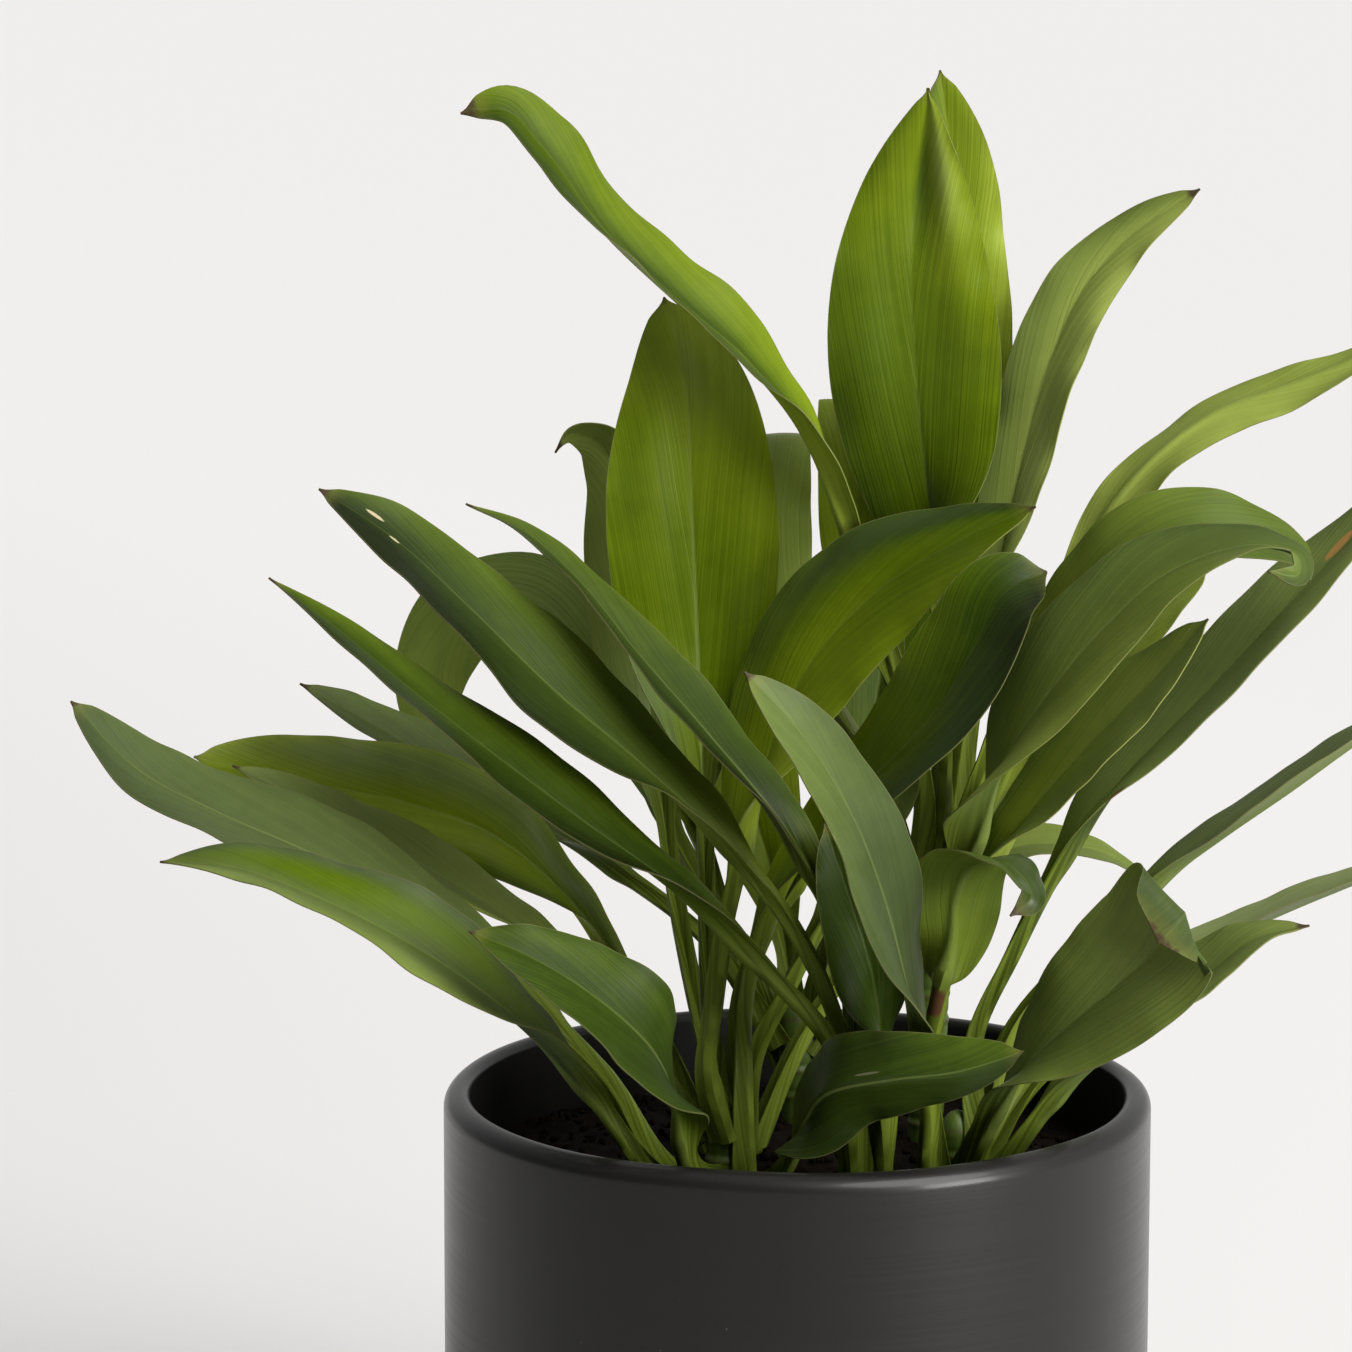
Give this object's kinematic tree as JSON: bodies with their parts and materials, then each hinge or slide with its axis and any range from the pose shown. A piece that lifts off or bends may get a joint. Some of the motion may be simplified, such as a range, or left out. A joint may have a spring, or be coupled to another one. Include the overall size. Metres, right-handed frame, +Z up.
{
  "type": "potted ti plant",
  "caption": "Round dark pot of potting soil with a green ti plant: short canes with long-stalked, broad pointed leaves spreading to all sides.",
  "frame": {"origin": "the pot's axis where it meets the flat underside of the pot", "axes": "+Z up along the pot's axis, -Y towards the front of the plant, +X to the right as seen from the front"},
  "size_m": [0.4639, 0.3348, 0.5673],
  "materials": {
    "pot_glaze": "dark charcoal, satin",
    "soil_peat": "dark crumbly potting soil",
    "cane_skin": "green, ringed by leaf scars",
    "leaf_green": "smooth leaf, fine parallel veins, soft gloss"
  },
  "bodies": {
    "root": {"pot": "pot_glaze", "soil": "soil_peat", "cane_a": "cane_skin", "cane_b": "cane_skin", "cane_c": "cane_skin", "cane_d": "cane_skin", "cane_e": "cane_skin", "cane_f": "cane_skin", "leaf_a01": "leaf_green", "leaf_a02": "leaf_green", "leaf_a03": "leaf_green", "leaf_a04": "leaf_green", "leaf_a05": "leaf_green", "leaf_a06": "leaf_green", "leaf_a07": "leaf_green", "leaf_a08": "leaf_green", "leaf_a09": "leaf_green", "leaf_b01": "leaf_green", "leaf_b02": "leaf_green", "leaf_b03": "leaf_green", "leaf_b04": "leaf_green", "leaf_c01": "leaf_green", "leaf_c02": "leaf_green", "leaf_c03": "leaf_green", "leaf_c04": "leaf_green", "leaf_c05": "leaf_green", "leaf_c06": "leaf_green", "leaf_c07": "leaf_green", "leaf_c08": "leaf_green", "leaf_c09": "leaf_green", "leaf_c10": "leaf_green", "leaf_c11": "leaf_green", "leaf_d01": "leaf_green", "leaf_d02": "leaf_green", "leaf_d03": "leaf_green", "leaf_d04": "leaf_green", "leaf_d05": "leaf_green", "leaf_d06": "leaf_green", "leaf_d07": "leaf_green", "leaf_e01": "leaf_green", "leaf_e02": "leaf_green", "leaf_e03": "leaf_green", "leaf_e04": "leaf_green", "leaf_e05": "leaf_green", "leaf_e06": "leaf_green", "leaf_f01": "leaf_green", "leaf_f02": "leaf_green", "leaf_f03": "leaf_green", "leaf_f04": "leaf_green"}
  },
  "joints": []
}
